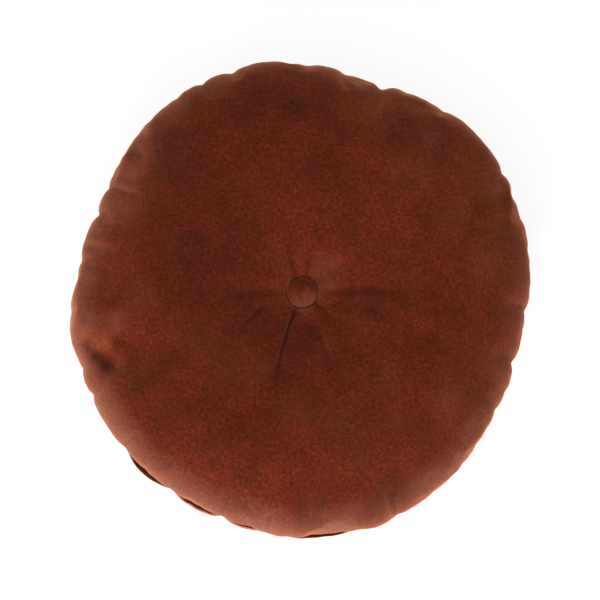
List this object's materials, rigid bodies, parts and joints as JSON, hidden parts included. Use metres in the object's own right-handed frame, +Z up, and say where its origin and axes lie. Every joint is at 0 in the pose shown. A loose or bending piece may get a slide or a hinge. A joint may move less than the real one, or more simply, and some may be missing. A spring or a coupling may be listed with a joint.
{
  "type": "round tufted cushion",
  "caption": "Round filled velvet cushion, drawn in at its middle by a cloth-covered button on each side, with one seam round its edge.",
  "frame": {"origin": "on the floor, under the middle of the cushion's box, with the cushion lying on its back", "axes": "+Z up through the cushion's thickness, out of its face; +Y towards the top of the face as pictured; +X to the right"},
  "size_m": [0.4066, 0.4248, 0.0903],
  "materials": {
    "velvet": "short-pile cotton velvet, rust brown, soft sheen at grazing angles, slightly mottled by the lie of the pile",
    "button_velvet": "the same rust velvet stretched over a domed button"
  },
  "bodies": {
    "root": {"cushion": "velvet", "button_front": "button_velvet", "button_back": "button_velvet"}
  },
  "joints": []
}
